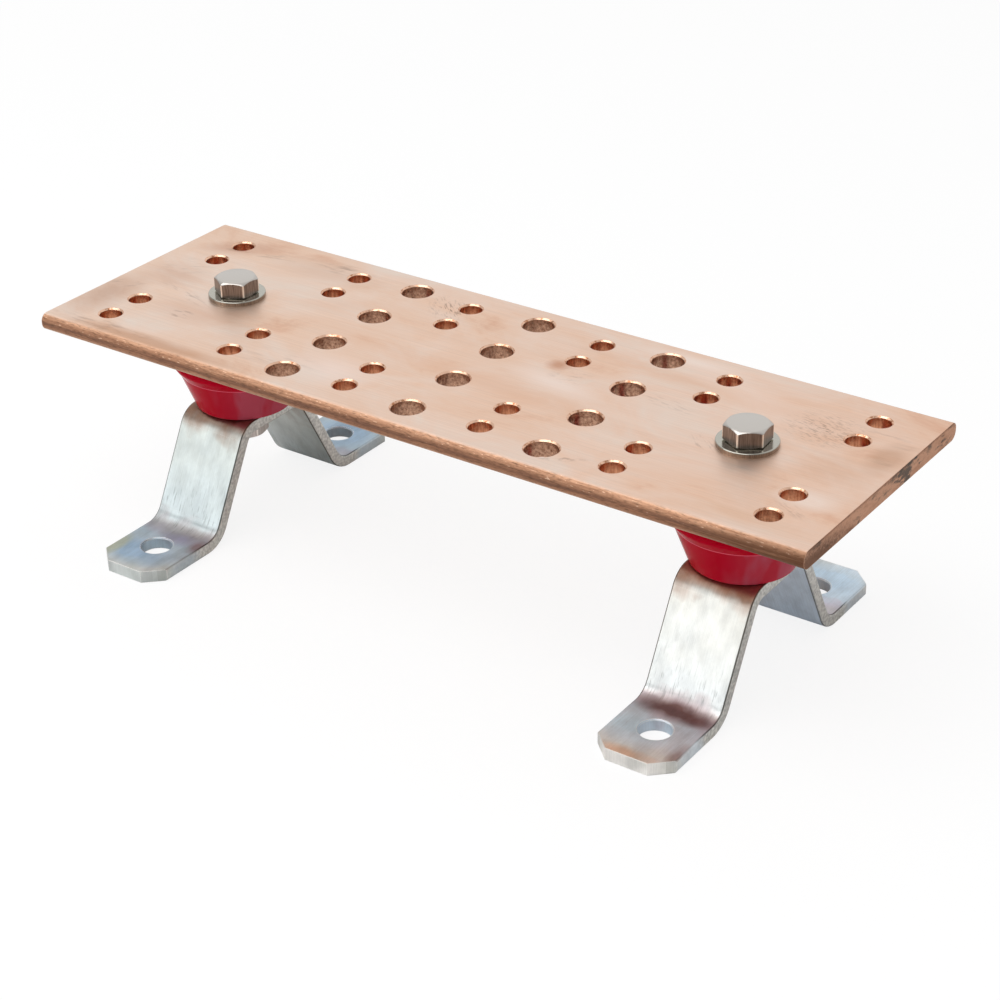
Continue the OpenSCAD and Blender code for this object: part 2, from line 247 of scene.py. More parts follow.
def outline(corners, steps=6):
    """An outline of (radius, height) corners in mm, each with its own rounding."""
    points = [Vector(c[:2]) for c in corners]
    result = []
    for i, (point, corner) in enumerate(zip(points, corners)):
        if corner[2] > 0:
            after = points[(i + 1) % len(points)]
            result += round_corner(points[i - 1], point, after, corner[2], steps)
        else:
            result.append(point)
    # a ring 0.15 mm from each rounding keeps the long faces straight in shading
    guarded = []
    for first, second in zip(result, result[1:] + result[:1]):
        guarded.append(first)
        length = (second - first).length
        if length > 1 and not (first.x < 1e-6 and second.x < 1e-6):
            guarded += [first.lerp(second, 0.15 / length), second.lerp(first, 0.15 / length)]
    return guarded


def turned(name, points, sides=128):
    """A piece turned from an outline that starts and ends on its axis, or that closes off it."""
    shape = bmesh.new()
    rings = []
    for radius, height in points:
        if radius < 1e-6:
            rings.append([shape.verts.new((0, 0, height * mm))] * sides)
            continue
        rings.append([shape.verts.new((radius * mm * cos(2 * pi * k / sides),
                                       radius * mm * sin(2 * pi * k / sides), height * mm))
                      for k in range(sides)])
    closed = points[0][0] > 1e-6
    bridge(shape, rings + rings[:1] if closed else rings)
    return finished_mesh(name, shape)


def bridge(shape, rings):
    """Faces from each ring of corners to the next. A ring that repeats one corner is a tip."""
    for low_ring, high_ring in zip(rings, rings[1:]):
        for k in range(len(low_ring)):
            after = (k + 1) % len(low_ring)
            corners = [low_ring[k], low_ring[after], high_ring[after], high_ring[k]]
            shape.faces.new(list(dict.fromkeys(corners)))


def finished_mesh(name, shape):
    """The shape as an object's mesh, outwards all round and smooth but for its hard edges."""
    bmesh.ops.recalc_face_normals(shape, faces=shape.faces)
    mesh = bpy.data.meshes.new(name)
    shape.to_mesh(mesh)
    shape.free()
    mesh.shade_smooth()
    hard_edge = radians(32)
    mesh.set_sharp_from_angle(angle=hard_edge)
    return mesh


def centre_of(name):
    """The middle of a CAD node's box."""
    low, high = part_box(name)
    return (Vector(low) + Vector(high)) / 2


standoff_spacing = centre_of("insulator_right").x - centre_of("insulator_left").x

# Node tree that sets a piece on both stand-offs, each copy with its own turn
pair_tree = bpy.data.node_groups.new("on_both_standoffs", "GeometryNodeTree")
for socket_name, kind in (("Geometry", "NodeSocketGeometry"), ("Spacing", "NodeSocketFloat"),
                          ("Left Turn", "NodeSocketFloat"), ("Right Turn", "NodeSocketFloat"),
                          ("Finish", "NodeSocketMaterial")):
    pair_tree.interface.new_socket(socket_name, in_out="INPUT", socket_type=kind)
pair_tree.interface.new_socket("Geometry", in_out="OUTPUT", socket_type="NodeSocketGeometry")
add = adder_for(pair_tree)
given = add("NodeGroupInput").node.outputs
half_spacing = add("Math", {0: given["Spacing"], 1: 0.5}, operation="MULTIPLY")
left_end = add("Math", {0: half_spacing, 1: -1.0}, operation="MULTIPLY")
line = add("GeometryNodeMeshLine", {
    "Count": 2, "Start Location": add("CombineXYZ", {"X": left_end}),
    "Offset": add("CombineXYZ", {"X": given["Spacing"]})}, mode="OFFSET")
which = add("GeometryNodeInputIndex")
turn = add("Mix", {0: which, 2: given["Left Turn"], 3: given["Right Turn"]}, data_type="FLOAT")
copies = add("GeometryNodeInstanceOnPoints", {"Points": line, "Instance": given["Geometry"],
                                              "Rotation": add("CombineXYZ", {"Z": turn})})
real = add("GeometryNodeRealizeInstances", {"Geometry": copies})
coated = add("GeometryNodeSetMaterial", {"Geometry": real, "Material": given["Finish"]})
add("NodeGroupOutput", {"Geometry": coated})


def on_both_standoffs(name, mesh, height, material, nodes, turns=(0.0, 0.0)):
    """Sets a piece on both stand-offs in place of its two CAD nodes."""
    mesh.transform(Matrix.Translation((0, 0, height)))
    seed = bpy.data.objects.new(name, mesh)
    bpy.context.collection.objects.link(seed)
    pair = seed.modifiers.new("on both stand-offs", "NODES")
    pair.node_group = pair_tree
    values = {"Spacing": standoff_spacing, "Left Turn": radians(turns[0]),
              "Right Turn": radians(turns[1]), "Finish": material}
    for item in pair_tree.interface.items_tree:
        if item.in_out == "INPUT" and item.name in values:
            pair[item.identifier] = values[item.name]
    seen = seed.evaluated_get(bpy.context.evaluated_depsgraph_get())
    result = bpy.data.meshes.new_from_object(seen)
    seed.modifiers.remove(pair)
    seed.data = result
    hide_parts(*nodes)
    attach(seed, "root")


drum_low, drum_high = (Vector(corner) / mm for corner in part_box("insulator_left"))
half_h = (drum_high.z - drum_low.z) / 2
drum_mid = (drum_high.z + drum_low.z) / 2 * mm
belt_r = 25.4
shoulder_r = 23.0
shoulder_z = 3.5
end_r = 17.65
insert_low, insert_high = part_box("lower_insert_left")
insert_r = (insert_high[0] - insert_low[0]) / mm / 2
insert_l = (insert_high[2] - insert_low[2]) / mm
drum = outline([
    (0, half_h - insert_l, 0), (insert_r, half_h - insert_l, 0), (insert_r, half_h, 0),
    (end_r, half_h, 0.8), (shoulder_r, shoulder_z, 0.25), (belt_r, 0, 1.5),
    (shoulder_r, -shoulder_z, 0.25), (end_r, -half_h, 0.8),
    (insert_r, -half_h, 0), (insert_r, insert_l - half_h, 0), (0, insert_l - half_h, 0)])

red, add, place = new_material("red_moulded_polyester")
# glass fibre just under the skin clouds the red a little, 4 mm patches
cloud = add("TexNoise", {"Vector": place, "Scale": 250.0, "Detail": 4.0})
red_colour = add("Mix", {0: cloud, 6: linear("#A80016"), 7: linear("#B00024")}, data_type="RGBA")
# the cones are painted paler and pinker than the belt on the side that faces right, in upright
# bands 9 mm wide: a painted reflection of the floor in the gloss
height = add("SeparateXYZ", {"Vector": place}, out="Z")
height = add("Math", {0: height, 1: drum_mid}, operation="SUBTRACT")
height = add("Math", {0: height}, operation="ABSOLUTE")
on_cone = add("Math", {0: height, 1: shoulder_z * mm}, operation="GREATER_THAN")
bands = marks(add, place, (110, 110, 6), 2.0)
painted_floor_reflection = add("MapRange", {"Value": bands, "From Min": 0.44, "From Max": 0.56, "To Min": 0.3})
rightward = add("SeparateXYZ", {"Vector": add("NewGeometry", out="Normal")}, out="X")
rightward = add("MapRange", {"Value": rightward, "From Min": 0.1, "From Max": 0.5})
painted_floor_reflection = add("Math", {0: painted_floor_reflection, 1: rightward}, operation="MULTIPLY")
painted_floor_reflection = add("Math", {0: painted_floor_reflection, 1: on_cone}, operation="MULTIPLY")
red_colour = add("Mix", {0: painted_floor_reflection, 6: red_colour, 7: linear("#AA4454")}, data_type="RGBA")
# and the ridge between them has a thin pale line, a painted highlight
painted_ridge_highlight = add("Math", {0: height, 1: shoulder_z * mm, 2: 0.2 * mm}, operation="COMPARE")
red_colour = add("Mix", {0: painted_ridge_highlight, 6: red_colour, 7: linear("#D45468")}, data_type="RGBA")
# the glossy skin ripples over the fibre, 2.5 mm from crest to crest
ripple = add("TexNoise", {"Vector": place, "Scale": 400.0, "Detail": 2.0})
red_bump = add("Bump", {"Height": ripple, "Strength": 0.15, "Distance": 0.05 * mm})
add("OutputMaterial", {"Surface": add("BsdfPrincipled", {
    "Base Color": red_colour, "Roughness": 0.14, "Specular IOR Level": 0.03, "Normal": red_bump})})
on_both_standoffs("insulators", turned("insulators", drum, 160), drum_mid, red,
                  ("insulator_left", "insulator_right"))

# ---------------------------------------------------------------------------
# Threaded inserts: turned free-cutting brass, moulded into the drums. Only
# their mouths could show, round the screws.
# ---------------------------------------------------------------------------

brass, add, place = new_material("turned_brass")
# tool marks, 0.4 mm across
tool_marks = add("TexNoise", {"Vector": place, "Scale": 2500.0, "Detail": 1.0})
brass_colour = add("Mix", {0: tool_marks, 6: linear("#B8934A"), 7: linear("#D2B06A")},
                   data_type="RGBA")
add("OutputMaterial", {"Surface": add("BsdfPrincipled", {
    "Base Color": brass_colour, "Metallic": 1.0, "Roughness": 0.35})})
dress(("upper_insert_left", "upper_insert_right", "lower_insert_left", "lower_insert_right"), brass)

# ---------------------------------------------------------------------------
# Copper bar: tough-pitch copper, rolled flat with round long edges, sheared to
# length, punched and deburred. Satin mill finish, handled and a little stained.
# ---------------------------------------------------------------------------

bar_low, bar_high = (Vector(corner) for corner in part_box("busbar"))
edge_reach = 3.2 * mm

copper, add, place = new_material("rolled_copper")
axes = add("SeparateXYZ", {"Vector": place}).node.outputs
facing = add("SeparateXYZ", {"Vector": add("NewGeometry", out="Normal")}).node.outputs
out_x = add("Math", {0: axes["X"]}, operation="ABSOLUTE")
out_y = add("Math", {0: axes["Y"]}, operation="ABSOLUTE")
level = add("Math", {0: facing["Z"]}, operation="ABSOLUTE")
# which part of the bar this is: a face, a long edge, an end, or inside a hole
off_face = add("MapRange", {"Value": level, "From Min": 0.985, "From Max": 0.85})
on_edge = add("Math", {0: out_y, 1: bar_high.y - edge_reach}, operation="GREATER_THAN")
on_end = add("Math", {0: out_x, 1: bar_high.x - 0.1 * mm}, operation="GREATER_THAN")
on_wall = add("MapRange", {"Value": level, "From Min": 0.55, "From Max": 0.35})

# rolled faces: fine lines along the bar, 0.4 mm apart and 50 mm long
roll_marks = marks(add, place, (20, 2500, 2500), 3.0)
# handling: soft pinker and greyer smudges, 25 mm across and 45 mm along the bar
smudge = marks(add, place, (22, 40, 40), 6.0, 0.62, Distortion=0.5)
face_tints = add("ValToRGB", {"Fac": smudge}, stops=(
    (0.3, "#FAE8DB"), (0.74, "#EDC0A4"), (0.46, "#FCE0CE"), (0.6, "#FAD8C1")))
# the bar is paler and greyer at its left end, and tanner at its right
drift = add("MapRange", {"Value": axes["X"], "From Min": bar_low.x, "From Max": bar_high.x})
drift_tint = add("Mix", {0: drift, 6: linear("#F6F8F8"), 7: linear("#F5F1EE")}, data_type="RGBA")
face_colour = add("Mix", {0: 1.0, 6: face_tints, 7: drift_tint}, data_type="RGBA",
                  blend_type="MULTIPLY")
roll_amount = add("MapRange", {"Value": roll_marks, "From Min": 0.3, "From Max": 0.7,
                               "To Min": 0.94, "To Max": 1.02})
face_colour = add("Mix", {0: 1.0, 6: face_colour, 7: roll_amount}, data_type="RGBA",
                  blend_type="MULTIPLY")
# stains: soft tan and pale patches, each with its centre and size in mm and its turn
for x, y, length, width, turn, tint, strength in (
        (-146, -24, 14, 26, 0, "#C8A28A", 0.6), (-105, -47, 52, 6, 0, "#C8946E", 0.6),
        (128, -42, 34, 7, 0, "#E6BC9C", 0.4), (23.5, 15, 6, 5, 0, "#C88C68", 0.7),
        (146, 14, 8, 16, 0, "#B88C6C", 0.35), (70, 28, 70, 7, -3, "#E6B898", 0.45),
        (10, -9, 85, 8, -4, "#E8BC9E", 0.4), (-90, 34, 34, 12, 0, "#DCC0AE", 0.4),
        (136, 0, 20, 14, 0, "#DDB294", 0.4), (-136, 2, 18, 14, 0, "#D8B49E", 0.5),
        (-108, -20, 24, 12, 0, "#DEBCA8", 0.45), (138, -22, 14, 8, 0, "#FCF0E8", 0.5),
        (60, 42, 28, 6, 0, "#FCF0E8", 0.5), (-70, 12, 24, 9, 20, "#E8C4AC", 0.35),
        (-132, 34, 20, 8, 25, "#D0A48C", 0.5), (30, 3, 26, 8, -8, "#FCEEE6", 0.5),
        (-38, -30, 22, 14, 0, "#FCEAE2", 0.45), (88, 30, 40, 12, -20, "#FAE6DA", 0.35)):
    inside = spot(add, place, (x * mm, y * mm, bar_high.z), (length * mm, width * mm, mm), turn)
    shown = add("Math", {0: inside, 1: smudge}, operation="MULTIPLY")
    shown = add("MapRange", {"Value": shown, "From Min": 0.05, "From Max": 0.4, "To Max": strength})
    face_colour = add("Mix", {0: shown, 6: face_colour, 7: linear(tint)}, data_type="RGBA")
# rubs and scratches, each a patch at its own place on the top face: centre and
# size in mm, turn in degrees, strength, and its marks per metre, each four times
# as long as it is wide
scuff = 0.0
for x, y, length, width, turn, strength, fineness in (
        (-34, 32, 13, 8, -43, 0.75, 1300), (32, 10, 9, 7, 10, 0.45, 900),
        (-86, 39, 14, 5, 5, 0.5, 500), (148, 17, 7, 13, 5, 0.45, 250),
        (121, 22, 17, 13, -10, 0.75, 1500), (93, -7, 8, 5, -40, 0.5, 900),
        (137, -30, 9, 3, -25, 0.4, 900), (88, -37, 2, 1.2, 0, 0.8, 300),
        (70, 10, 13, 4, -10, 0.35, 800), (139, 29, 9, 5, 0, 0.35, 500),
        (-138, 10, 12, 9, 30, 0.35, 600), (-60, -33, 22, 9, 5, 0.22, 500),
        (-111, -23, 5, 5, 0, 0.7, 700), (-146, -13, 8, 4, 35, 0.9, 400),
        (-121, 34, 24, 3, 12, 0.6, 400), (-121, -9, 18, 3, -18, 0.6, 500),
        (61, -41, 10, 1.6, 28, 0.9, 1300), (-128, -45, 30, 5, 0, 0.5, 500)):
    inside = spot(add, place, (x * mm, y * mm, bar_high.z), (length * mm, width * mm, mm), turn)
    mark = 1 / fineness
    rub_place = add("Mapping", {"Vector": place, "Rotation": (0, 0, radians(turn)),
                                "Scale": (4 * mark, mark, mark)}, vector_type="TEXTURE")
    rubs = add("TexNoise", {"Vector": rub_place, "Scale": 1.0, "Detail": 4.0})
    shown = add("MapRange", {"Value": rubs, "From Min": 0.5, "From Max": 0.7, "To Max": strength})
    scuff = add("Math", {0: inside, 1: shown, 2: scuff}, operation="MULTIPLY_ADD")
face_colour = add("Mix", {0: scuff, 6: face_colour, 7: linear("#6E4A36")}, data_type="RGBA",
                  clamp_factor=True)

# long edges: tarnished in streaks along the bar, and painted lighter at the top and the bottom and
# darkest at half height, a painted highlight and painted shade on the rounded edge
streaks = marks(add, place, (40, 1100, 1100), 5.0, 0.65)
height = add("MapRange", {"Value": axes["Z"], "From Min": bar_low.z, "From Max": bar_high.z})
streak_height = add("Math", {0: streaks, 1: 0.8, 2: -0.4}, operation="MULTIPLY_ADD")
streak_height = add("Math", {0: height, 1: streak_height}, operation="ADD")
edge_tarnish_and_painted_light = add("ValToRGB", {"Fac": streak_height}, stops=(
    (0, "#D6B096"), (1, "#D9AE90"), (0.25, "#B2866A"), (0.42, "#9A7058"),
    (0.5, "#826050"), (0.58, "#946C56"), (0.8, "#B4886C")))
# with short dark flecks, 0.4 mm high
flecks = marks(add, place, (500, 2200, 2200), 3.0)
fleck_amount = add("MapRange", {"Value": flecks, "From Min": 0.5, "From Max": 0.75, "To Max": 0.7})
edge_colour = add("Mix", {0: fleck_amount, 6: edge_tarnish_and_painted_light, 7: linear("#5E4638")}, data_type="RGBA")
# and bright nicks along the top, where the copper is bare
nicks = add("MapRange", {"Value": flecks, "From Min": 0.34, "From Max": 0.3, "To Max": 0.8})
near_top = add("MapRange", {"Value": height, "From Min": 0.5, "From Max": 0.75})
nicks = add("Math", {0: nicks, 1: near_top}, operation="MULTIPLY")
edge_colour = add("Mix", {0: nicks, 6: edge_colour, 7: linear("#F4D4BA")}, data_type="RGBA")

# sheared ends: torn and stained, dark along the burr of the upper arris
tears = marks(add, place, (300, 110, 260), 6.0, 0.7)
tear_height = add("Math", {0: height, 1: 0.16, 2: tears}, operation="MULTIPLY_ADD")
end_tints = add("ValToRGB", {"Fac": tear_height}, stops=(
    (0.3, "#7C5443"), (0.8, "#4C453F"), (0.42, "#B4866A"), (0.6, "#CC9E82"),
    (0.68, "#A8826A"), (0.74, "#7A6658")))
burr = add("MapRange", {"Value": height, "From Min": 0.82, "From Max": 0.98, "To Max": 0.6})
end_colour = add("Mix", {0: burr, 6: end_tints, 7: linear("#7A4C34")}, data_type="RGBA")
# and blotched grey-black where the shear tore it, most of all 17 mm past the middle
blots = marks(add, place, (80, 80, 220), 5.0, 0.65)
torn_most = spot(add, place, (bar_high.x, 17 * mm, bar_high.z), (10 * mm, 18 * mm, 18 * mm))
blots = add("Math", {0: torn_most, 1: 0.14, 2: blots}, operation="MULTIPLY_ADD")
blots = add("MapRange", {"Value": blots, "From Min": 0.6, "From Max": 0.66, "To Max": 0.85})
end_colour = add("Mix", {0: blots, 6: end_colour, 7: linear("#504A44")}, data_type="RGBA")

# holes: punched walls, drawn in upright lines 0.7 mm apart and warm in the small
# ones, dull and torn in the large ones, under countersunk rims
large_column = 0.0
large_column_x = 52.5 * mm
for x in (-large_column_x, 0, large_column_x):
    away = add("Math", {0: axes["X"], 1: x, 2: 7 * mm}, operation="COMPARE")
    large_column = add("Math", {0: away, 1: large_column}, operation="ADD")
bite = add("TexNoise", {"Vector": place, "Scale": 600.0, "Detail": 4.0, "Roughness": 0.7})
draw_lines = marks(add, place, (1500, 1500, 180), 3.0)
draw_lines = add("MapRange", {"Value": draw_lines, "From Min": 0.25, "From Max": 0.75})
torn = add("TexNoise", {"Vector": place, "Scale": 1100.0, "Detail": 4.0, "Roughness": 0.65})
torn = add("MapRange", {"Value": torn, "From Min": 0.28, "From Max": 0.72})
drawn = add("Mix", {0: 0.4, 2: draw_lines, 3: torn}, data_type="FLOAT")
small_wall = add("Mix", {0: drawn, 6: linear("#823C1E"), 7: linear("#F2B088")}, data_type="RGBA")
large_wall = add("Mix", {0: torn, 6: linear("#6A402C"), 7: linear("#DCB094")}, data_type="RGBA")
wall_colour = add("Mix", {0: large_column, 6: small_wall, 7: large_wall}, data_type="RGBA",
                  clamp_factor=True)
# the countersink chattered, so that the rims are bright with brown notches
chatter = add("MapRange", {"Value": bite, "From Min": 0.5, "From Max": 0.62})
rim_colour = add("Mix", {0: chatter, 6: linear("#F2C8AC"), 7: linear("#B47A58")}, data_type="RGBA")
hole_colour = add("Mix", {0: on_wall, 6: rim_colour, 7: wall_colour}, data_type="RGBA")

side_colour = add("Mix", {0: on_edge, 6: hole_colour, 7: edge_colour}, data_type="RGBA")
side_colour = add("Mix", {0: on_end, 6: side_colour, 7: end_colour}, data_type="RGBA")
# one corner, at the right end of the front edge and low down, is browner on both its faces
browned = spot(add, place, (bar_high.x, bar_low.y, bar_low.z), (60 * mm, 45 * mm, 9 * mm))
browned = add("Math", {0: browned, 1: streaks}, operation="MULTIPLY")
browned = add("MapRange", {"Value": browned, "From Min": 0.1, "From Max": 0.32, "To Max": 0.8})
side_colour = add("Mix", {0: browned, 6: side_colour, 7: linear("#664430")}, data_type="RGBA")
copper_colour = add("Mix", {0: off_face, 6: face_colour, 7: side_colour}, data_type="RGBA")
# arrises are painted bright round the outside, partly rubbed bare and partly a painted highlight,
# and darker tan round the holes, a painted line of shade
rounded, arris = broken_arris(add, 0.3 * mm, 0.6)
outside = add("Math", {0: on_edge, 1: on_end}, operation="MAXIMUM")
arris_wear_and_painted_light = add("Mix", {0: outside, 6: linear("#D29E7C"), 7: linear("#F0C4A4")}, data_type="RGBA")
copper_colour = add("Mix", {0: arris, 6: copper_colour, 7: arris_wear_and_painted_light}, data_type="RGBA")
# satin faces, duller edges and ends, fresh rims
face_rough = add("MapRange", {"Value": smudge, "From Min": 0.3, "From Max": 0.7,
                              "To Min": 0.38, "To Max": 0.5})
hole_rough = add("Mix", {0: on_wall, 2: 0.3, 3: 0.34}, data_type="FLOAT")
side_rough = add("Mix", {0: outside, 2: hole_rough, 3: 0.6}, data_type="FLOAT")
copper_rough = add("Mix", {0: off_face, 2: face_rough, 3: side_rough}, data_type="FLOAT")
# roll marks in relief, and a rougher bite off the faces
roll_bump = add("Bump", {"Height": roll_marks, "Strength": 0.2, "Distance": 0.04 * mm,
                         "Normal": rounded})
side_bite = add("Math", {0: bite, 1: off_face}, operation="MULTIPLY")
copper_bump = add("Bump", {"Height": side_bite, "Strength": 0.35, "Distance": 0.1 * mm,
                           "Normal": roll_bump})
add("OutputMaterial", {"Surface": add("BsdfPrincipled", {
    "Base Color": copper_colour, "Metallic": 1.0, "Roughness": copper_rough,
    "Normal": copper_bump})})
dress(("busbar",), copper)

# ---------------------------------------------------------------------------
# Hexagon-head screws: 3/8-16, cold-headed stainless steel, a washer face under
# each head. Two go down through the bar, two go up through the brackets.
# ---------------------------------------------------------------------------

screw_low, screw_high = (Vector(corner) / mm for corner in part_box("top_screw_left"))
washer_low, washer_high = (Vector(corner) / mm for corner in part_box("top_washer_left"))
head_h = screw_high.z - washer_high.z
shank_l = washer_high.z - screw_low.z


def hex_screw(name):
    """The screw, its bearing face at z = 0: hexagon head above, threaded shank below."""
    flats = 14.1
    corner_round = 0.35
    edge_round = 0.12
    bearing_h = 0.4
    bearing_r = 6.7
    top_r = 6.65
    shank_r = 9.525 / 2
    pitch = 25.4 / 16
    thread_depth = 0.6 * pitch
    slope = tan(radians(30))
    corner_reach = (flats / 2 - corner_round) / cos(radians(30))
    arc_steps, flat_steps = 6, 8

    def towards(degrees, length):
        return Vector((cos(radians(degrees)), sin(radians(degrees)))) * length

    hexagon = []
    for turn in range(0, 360, 60):
        middle = towards(turn, corner_reach)
        hexagon += [middle + towards(turn - 30 + 60 * step / arc_steps, corner_round)
                    for step in range(arc_steps + 1)]
        flat_start = hexagon[-1]
        flat_end = towards(turn + 60, corner_reach) + towards(turn + 30, corner_round)
        hexagon += [flat_start.lerp(flat_end, step / flat_steps) for step in range(1, flat_steps)]
    sides = len(hexagon)
    angles = [atan2(p.y, p.x) for p in hexagon]

    def circle(radius, height):
        return [(radius * cos(a), radius * sin(a), height) for a in angles]

    def shoulder(radius):
        return head_h - (radius - top_r) * slope

    # the chamfer's round upper edge comes nearer to the top over the flats
    rims = [top_r + (1 if p.length > top_r + 2 * edge_round else 0.4) * edge_round for p in hexagon]
    inner = [p * (1 - edge_round / p.length) for p in hexagon]
    rings = [[(0, 0, head_h)] * sides, circle(top_r - edge_round, head_h)]
    rings.append([(r * cos(a), r * sin(a), shoulder(r)) for a, r in zip(angles, rims)])
    rings.append([(p.x, p.y, shoulder(p.length)) for p in inner])
    rings.append([(p.x, p.y, shoulder(p.length) - edge_round) for p in hexagon])
    rings.append([(p.x, p.y, bearing_h + edge_round) for p in hexagon])
    rings.append([(p.x, p.y, bearing_h) for p in inner])
    rings += [circle(bearing_r, bearing_h), circle(bearing_r, 0), circle(shank_r, 0)]
    # the thread runs out over one pitch below the bare shank and at the very end
    thread_start = -4.0
    tip_chamfer = 1.0
    rings.append(circle(shank_r, thread_start))
    rows_per_turn = 8
    rows = round((shank_l + thread_start) / pitch * rows_per_turn)
    for row in range(1, rows + 1):
        z = thread_start - (shank_l + thread_start) * row / rows
        fade = min(1, (thread_start - z) / pitch, (z + shank_l) / 0.01)
        limit = shank_r - max(0, tip_chamfer - (z + shank_l))
        depths = [thread_depth * fade * abs((z / pitch + a / (2 * pi)) % 1 - 0.5) * 2
                  for a in angles]
        reaches = [min(limit, shank_r - depth) for depth in depths]
        rings.append([(r * cos(a), r * sin(a), z) for a, r in zip(angles, reaches)])
    rings.append([(0, 0, -shank_l)] * sides)
    shape = bmesh.new()
    grid = []
    for ring in rings:
        if hypot(ring[0][0], ring[0][1]) < 1e-6:
            grid.append([shape.verts.new(Vector(ring[0]) * mm)] * sides)
        else:
            grid.append([shape.verts.new(Vector(p) * mm) for p in ring])
    bridge(shape, grid)
    return finished_mesh(name, shape)


standoff_x = standoff_spacing / 2


def stainless(name, flat_tints_with_painted_shade, face_tint, roughness):
    """Stainless steel: die lines in two colours up its sides, which are painted darker and browner
    than its faces, a painted shade and a painted reflection of the copper; one colour on its faces.
    """
    material, add, place = new_material(name)
    # die lines run up the flats, 0.3 mm apart
    die_lines = marks(add, place, (3000, 3000, 150), 3.0)
    level = add("SeparateXYZ", {"Vector": add("NewGeometry", out="Normal")}, out="Z")
    level = add("Math", {0: level}, operation="ABSOLUTE")
    line_amount = add("MapRange", {"Value": die_lines, "From Min": 0.25, "From Max": 0.75})
    # painted shade and reflection: the flats take darker, browner tints than the faces
    sides = add("Mix", {0: line_amount, 6: linear(flat_tints_with_painted_shade[0]), 7: linear(flat_tints_with_painted_shade[1])},
                data_type="RGBA")
    colour = add("Mix", {0: level, 6: sides, 7: linear(face_tint)}, data_type="RGBA")
    # the six corners of a head, 8 mm from its axis, are painted bright, a painted highlight
    axes = add("SeparateXYZ", {"Vector": place}).node.outputs
    out_x = add("Math", {0: axes["X"]}, operation="ABSOLUTE")
    out_x = add("Math", {0: out_x, 1: standoff_x}, operation="SUBTRACT")
    radius = add("VectorMath", {0: add("CombineXYZ", {"X": out_x, "Y": axes["Y"]})},
                 operation="LENGTH")
    corner = add("MapRange", {"Value": radius, "From Min": 7.92 * mm, "From Max": 8.02 * mm})
    within = add("Math", {0: radius, 1: 8.3 * mm}, operation="LESS_THAN")
    corner = add("Math", {0: corner, 1: within}, operation="MULTIPLY")
    upright = add("Math", {0: level, 1: 0.3}, operation="LESS_THAN")
    corner = add("Math", {0: corner, 1: upright}, operation="MULTIPLY")
    colour = add("Mix", {0: corner, 6: colour, 7: linear("#F4EEE6")}, data_type="RGBA")
    steel_bump = add("Bump", {"Height": die_lines, "Strength": 0.2, "Distance": 0.04 * mm})
    add("OutputMaterial", {"Surface": add("BsdfPrincipled", {
        "Base Color": colour, "Metallic": 1.0, "Roughness": roughness, "Normal": steel_bump})})
    return material


head_steel = stainless("cold_headed_stainless_steel", ("#5E524C", "#A0948C"), "#D0CBC5", 0.3)
on_both_standoffs("top_screws", hex_screw("top_screws"), washer_high.z * mm, head_steel,
                  ("top_screw_left", "top_screw_right"), turns=(28, 35))

# ---------------------------------------------------------------------------
# Flat washers: stamped stainless steel, rounded on the side that the punch
# enters and square on the other.
# ---------------------------------------------------------------------------

washer_r = (washer_high.x - washer_low.x) / 2
washer_t = washer_high.z - washer_low.z
washer_bore = 5.56
washer = outline([(washer_bore, 0, 0.1), (washer_r, 0, 0.15), (washer_r, washer_t, 0.4),
                  (washer_bore, washer_t, 0.2)])
# smooth from the roll, so that the head shows in it, and painted darker and browner round the edge,
# a painted reflection of the copper; its face is painted a little darker than the heads', a painted
# shade from the head
washer_steel = stainless("stamped_stainless_steel", ("#6E6258", "#9A8E82"), "#C0BEB4", 0.2)
on_both_standoffs("top_washers", turned("top_washers", washer), washer_low.z * mm, washer_steel,
                  ("top_washer_left", "top_washer_right"))

# ---------------------------------------------------------------------------
# Split lock washers: square spring wire coiled and cut on a slant, pressed
# flat between the crown and the head of the lower screw.
# ---------------------------------------------------------------------------

lock_low, lock_high = (Vector(corner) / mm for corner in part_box("bottom_lock_washer_left"))
lock_r = (lock_high.x - lock_low.x) / 2
lock_t = lock_high.z - lock_low.z
lock_bore = 5.16


def split_ring(name):
    """A ring of round-cornered wire from one slanted end to the other."""
    section = outline([(lock_bore, 0, 0.25), (lock_r, 0, 0.25), (lock_r, lock_t, 0.25),
                       (lock_bore, lock_t, 0.25)], 3)
    cut_w, cut_lean = 1.1, radians(40)
    cut = cut_w / lock_r
    slant = tan(cut_lean) / lock_r
    shape = bmesh.new()
    steps = 96
    rings = []
    for step in range(steps + 1):
        base = pi / 2 + cut / 2 + (2 * pi - cut) * step / steps
        ring = []
        for radius, height in section:
            angle = base + slant * (height - lock_t / 2)
            ring.append(shape.verts.new((radius * mm * cos(angle), radius * mm * sin(angle),
                                         height * mm)))
        rings.append(ring)
    bridge(shape, rings)
    shape.faces.new(rings[0])
    shape.faces.new(rings[-1])
    return finished_mesh(name, shape)


on_both_standoffs("lock_washers", split_ring("lock_washers"), lock_low.z * mm, washer_steel,
                  ("bottom_lock_washer_left", "bottom_lock_washer_right"))

# The lower screws are the same screws, turned head down against the washers
lower_screws = hex_screw("bottom_screws")
lower_screws.transform(Matrix.Rotation(pi, 4, "X"))
# painted light: their steel is painted paler than the upper screws', standing in for light from
# below
lower_steel_painted_paler = stainless("cold_headed_stainless_painted_paler", ("#A89E98", "#D8D0CA"), "#DCD8D2", 0.36)
on_both_standoffs("bottom_screws", lower_screws, lock_low.z * mm, lower_steel_painted_paler,
                  ("bottom_screw_left", "bottom_screw_right"), turns=(-20, -44))

# ---------------------------------------------------------------------------
# Studio: a plain white sweep, a pale room and soft lamps.
# ---------------------------------------------------------------------------

